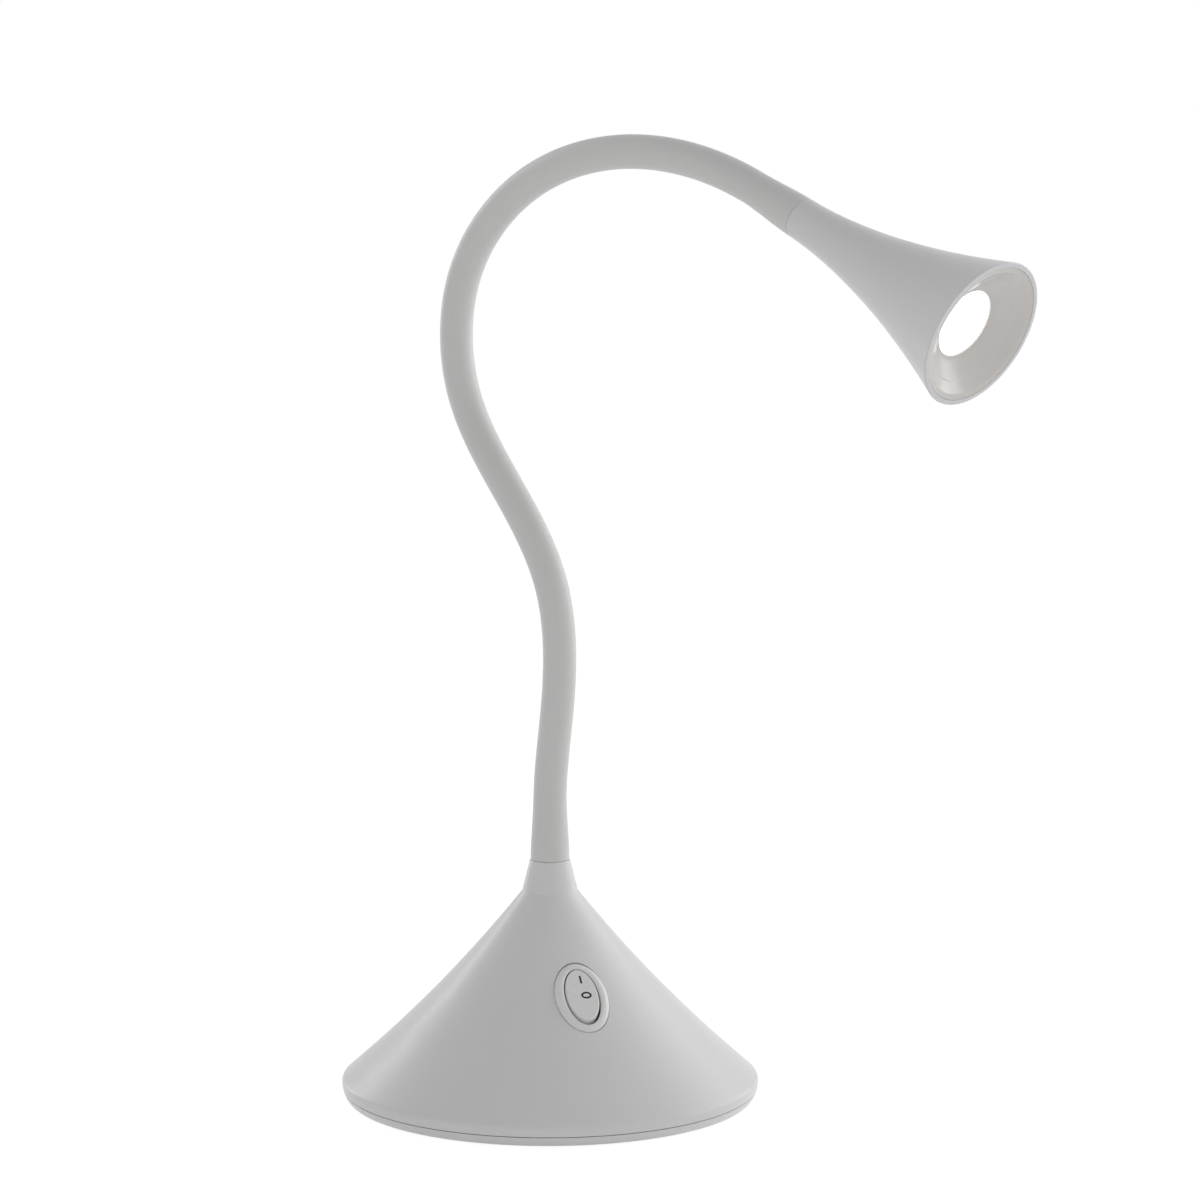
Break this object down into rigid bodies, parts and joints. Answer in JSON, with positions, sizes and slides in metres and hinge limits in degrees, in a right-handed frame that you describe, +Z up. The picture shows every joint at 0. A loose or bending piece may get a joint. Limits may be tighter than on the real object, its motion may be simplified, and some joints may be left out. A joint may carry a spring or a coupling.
{
  "type": "gooseneck desk lamp",
  "caption": "Small white LED desk lamp: weighted cone base with an oval rocker switch, sleeved flexible neck and a trumpet-shaped head.",
  "frame": {"origin": "on the table, under the middle of the round base (centre of the foot ring's flat face)", "axes": "+Z up, away from the table; the neck's resting bend lies in the XZ plane and the head looks towards +X and down"},
  "size_m": [0.2308, 0.125, 0.2879],
  "materials": {
    "shell_white": "satin, lightly textured",
    "switch_white": "semi-gloss",
    "reflector_white": "high gloss",
    "diffuser_frosted": "frosted, lit from behind",
    "sleeve_silicone": "silk matte silicone",
    "lead_black": "matte",
    "core_steel": "zinc plated",
    "fitting_steel": "zinc plated",
    "screw_steel": "zinc plated",
    "rubber_dark": "matte",
    "ballast_iron": "as cast",
    "tray_nylon": "satin",
    "board_green": "solder resist",
    "ferrite": "matte",
    "capacitor_can": "sleeved",
    "nylon_ivory": "satin",
    "contact_brass": "bright",
    "led_board_white": "white resist",
    "led_phosphor": "gloss",
    "sink_aluminium": "turned"
  },
  "bodies": {
    "base": {"base_cover": "shell_white", "base_plate": "shell_white", "foot_ring": "rubber_dark", "ballast_weight": "ballast_iron", "ballast_screws": "screw_steel", "base_screws": "screw_steel", "cord_grommet": "rubber_dark", "driver_case": "tray_nylon", "driver_board": "board_green", "driver_inductor": "ferrite", "driver_capacitor": "capacitor_can", "terminal_block": "tray_nylon", "switch_housing": "switch_white", "switch_terminals": "contact_brass", "base_leads": "lead_black", "neck_nipple": "fitting_steel", "neck_washer": "fitting_steel", "neck_nut": "fitting_steel", "neck_sleeve_1": "sleeve_silicone"},
    "link_1": {"neck_core_1": "core_steel", "neck_sleeve_2": "sleeve_silicone", "neck_lead_1": "lead_black"},
    "link_2": {"neck_core_2": "core_steel", "neck_sleeve_3": "sleeve_silicone", "neck_lead_2": "lead_black"},
    "link_3": {"neck_core_3": "core_steel", "neck_sleeve_4": "sleeve_silicone", "neck_lead_3": "lead_black"},
    "link_4": {"neck_core_4": "core_steel", "neck_sleeve_5": "sleeve_silicone", "neck_lead_4": "lead_black"},
    "link_5": {"neck_core_5": "core_steel", "neck_sleeve_6": "sleeve_silicone", "neck_lead_5": "lead_black"},
    "link_6": {"neck_core_6": "core_steel", "neck_sleeve_7": "sleeve_silicone", "neck_lead_6": "lead_black"},
    "link_7": {"neck_core_7": "core_steel", "neck_sleeve_8": "sleeve_silicone", "neck_lead_7": "lead_black"},
    "link_8": {"neck_core_8": "core_steel", "neck_sleeve_9": "sleeve_silicone", "neck_lead_8": "lead_black"},
    "link_9": {"neck_core_9": "core_steel", "neck_sleeve_10": "sleeve_silicone", "neck_lead_9": "lead_black"},
    "head": {"head_nipple": "fitting_steel", "head_nut": "fitting_steel", "head_shade": "shell_white", "head_reflector": "reflector_white", "diffuser": "diffuser_frosted", "led_board": "led_board_white", "led_emitter": "led_phosphor", "heat_sink": "sink_aluminium", "head_screws": "screw_steel", "neck_lead_10": "lead_black"},
    "rocker": {"switch_rocker": "switch_white", "switch_spring": "screw_steel"},
    "plunger": {"switch_plunger": "nylon_ivory"},
    "contact_lever": {"switch_lever": "contact_brass"}
  },
  "joints": [
    {"name": "lower_bend", "type": "hinge", "parent": "base", "child": "link_1", "pos_m": [0, 0, 0.0891], "axis": [0, 1, 0], "range_deg": [-15, 30], "deforming": ["neck_sleeve_1"]},
    {"name": "lower_sideways", "type": "hinge", "parent": "link_1", "child": "link_2", "pos_m": [0.00348, 0, 0.12226], "axis": [-0.9781, 0, 0.2079], "range_deg": [-30, 30], "deforming": ["neck_sleeve_2"]},
    {"name": "lower_bend_above", "type": "hinge", "parent": "link_2", "child": "link_3", "pos_m": [0.00062, 0, 0.15504], "axis": [0, 1, 0], "range_deg": [-15, 30], "deforming": ["neck_sleeve_3"]},
    {"name": "middle_sideways", "type": "hinge", "parent": "link_3", "child": "link_4", "pos_m": [-0.01746, 0, 0.18288], "axis": [-0.7193, 0, -0.6947], "range_deg": [-35, 35], "deforming": ["neck_sleeve_4"]},
    {"name": "middle_bend", "type": "hinge", "parent": "link_4", "child": "link_5", "pos_m": [-0.03554, 0, 0.21072], "axis": [0, -1, 0], "range_deg": [-6, 45], "deforming": ["neck_sleeve_5"]},
    {"name": "middle_bend_above", "type": "hinge", "parent": "link_5", "child": "link_6", "pos_m": [-0.03554, 0, 0.24331], "axis": [0, -1, 0], "range_deg": [-6, 45], "deforming": ["neck_sleeve_6"]},
    {"name": "upper_bend", "type": "hinge", "parent": "link_6", "child": "link_7", "pos_m": [-0.01483, 0, 0.26889], "axis": [0, -1, 0], "range_deg": [-15, 45], "deforming": ["neck_sleeve_7"]},
    {"name": "upper_bend_above", "type": "hinge", "parent": "link_7", "child": "link_8", "pos_m": [0.01591, 0, 0.28131], "axis": [0, -1, 0], "range_deg": [-15, 45], "deforming": ["neck_sleeve_8"]},
    {"name": "upper_sideways", "type": "hinge", "parent": "link_8", "child": "link_9", "pos_m": [0.04917, 0, 0.28189], "axis": [0.1392, 0, 0.9903], "range_deg": [-40, 40], "deforming": ["neck_sleeve_9"]},
    {"name": "head_tilt", "type": "hinge", "parent": "link_9", "child": "head", "pos_m": [0.08108, 0, 0.27243], "axis": [0, -1, 0], "range_deg": [-35, 45], "deforming": ["neck_sleeve_10"]},
    {"name": "rocker_tip", "type": "hinge", "parent": "base", "child": "rocker", "pos_m": [0.02558, -0.01418, 0.0352], "axis": [0.4848, 0.8746, 0], "range_deg": [0, 16]},
    {"name": "plunger_dip", "type": "slide", "parent": "rocker", "child": "plunger", "axis": [0.5421, -0.3005, 0.7847], "range_m": [0, 0.0005], "stiffness_N_per_m": 300, "springref_m": -0.001, "deforming": ["switch_spring"]},
    {"name": "lever_tip", "type": "hinge", "parent": "base", "child": "contact_lever", "pos_m": [0.01894, -0.0105, 0.02795], "axis": [0.4848, 0.8746, 0], "range_deg": [-16, 0]}
  ],
  "couplings": [
    {"joint": "lower_bend_above", "follows": "lower_bend", "ratio": 1},
    {"joint": "middle_bend_above", "follows": "middle_bend", "ratio": 1},
    {"joint": "upper_bend_above", "follows": "upper_bend", "ratio": 1},
    {"joint": "lever_tip", "follows": "rocker_tip", "ratio": -1}
  ]
}
